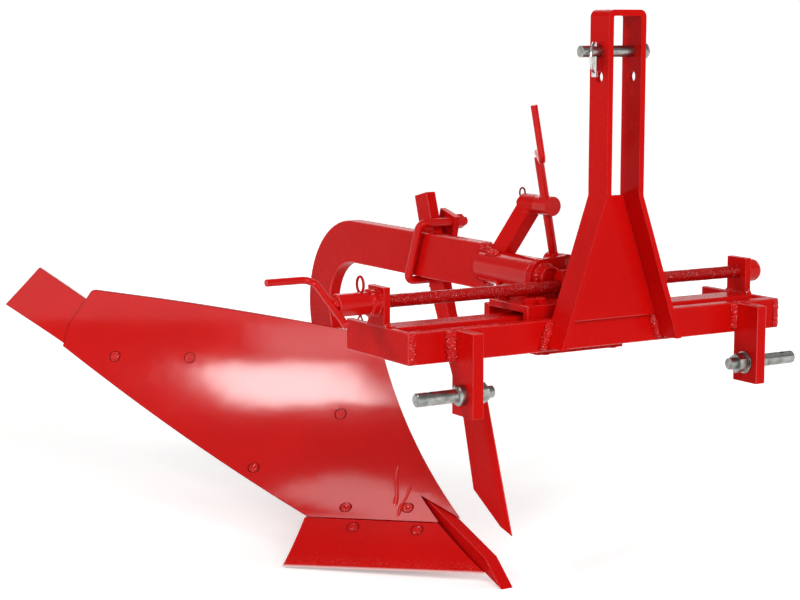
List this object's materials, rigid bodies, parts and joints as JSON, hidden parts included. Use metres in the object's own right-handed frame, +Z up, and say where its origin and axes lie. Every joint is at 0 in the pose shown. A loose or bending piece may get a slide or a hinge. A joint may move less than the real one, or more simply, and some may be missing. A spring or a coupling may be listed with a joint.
{
  "type": "moldboard plough",
  "caption": "Tractor-mounted right-hand moldboard plough: hitch frame with mast, side-shifting carriage on a rail, tilting gooseneck beam, knife coulter, share and moldboard.",
  "frame": {"origin": "middle of the footprint, on the ground", "axes": "+X to the plough's left (land side), +Y to its rear, +Z up; the hitch faces -Y"},
  "size_m": [0.9704, 1.453, 1.037],
  "materials": {
    "red_paint": "gloss",
    "zinc": "satin"
  },
  "bodies": {
    "hitch_frame": {"end_bar_left": "red_paint", "end_bar_right": "red_paint", "front_bar": "red_paint", "linch_pin": "zinc", "lower_bracket_left": "red_paint", "lower_bracket_right": "red_paint", "lower_pin_left": "zinc", "lower_pin_nut_left": "zinc", "lower_pin_nut_right": "zinc", "lower_pin_right": "zinc", "mast": "red_paint", "mast_web": "red_paint", "screw_upright_left": "red_paint", "screw_upright_right": "red_paint", "shift_boss": "red_paint", "shift_crank": "red_paint", "shift_end_nut": "red_paint", "shift_hub": "red_paint", "shift_screw": "red_paint", "slide_rail": "red_paint", "top_link_pin": "zinc"},
    "carriage": {"saddle": "red_paint", "keeper_strap": "red_paint", "pivot_plate": "red_paint", "pivot_axle": "red_paint", "shift_nut": "red_paint", "swivel_pin": "red_paint"},
    "tilt_screw": {"tilt_screw": "red_paint", "tilt_crank": "red_paint"},
    "trunnion": {"trunnion_nut": "red_paint"},
    "plough_body": {"pivot_tube": "red_paint", "tilt_arm": "red_paint", "beam": "red_paint", "frog": "red_paint", "foot_block": "red_paint", "landside": "red_paint", "share": "red_paint", "chisel_point": "red_paint", "point_holder": "red_paint", "moldboard": "red_paint", "moldboard_tail": "red_paint", "moldboard_brace": "red_paint", "knife_coulter": "red_paint", "coulter_u_bolt": "red_paint", "coulter_clamp": "red_paint", "coulter_nut_upper": "red_paint", "coulter_nut_lower": "red_paint"}
  },
  "joints": [
    {"name": "carriage_shift", "type": "slide", "parent": "hitch_frame", "child": "carriage", "axis": [1, 0, 0], "range_m": [-0.23, 0.285]},
    {"name": "beam_tilt", "type": "hinge", "parent": "carriage", "child": "plough_body", "pos_m": [0.03815, -0.46653, 0.585], "axis": [0, 1, 0], "range_deg": [-12, 12]},
    {"name": "screw_swivel", "type": "hinge", "parent": "carriage", "child": "tilt_screw", "pos_m": [0.08815, -0.49153, 0.606], "axis": [0, 1, 0], "range_deg": [-13.5, 13.5]},
    {"name": "nut_swivel", "type": "hinge", "parent": "plough_body", "child": "trunnion", "pos_m": [0.06911, -0.49153, 0.70213], "axis": [0, 1, 0], "range_deg": [-1.5, 1.5]}
  ],
  "couplings": [
    {"joint": "screw_swivel", "follows": "beam_tilt", "ratio": 1.11},
    {"joint": "nut_swivel", "follows": "beam_tilt", "ratio": 0.11}
  ]
}
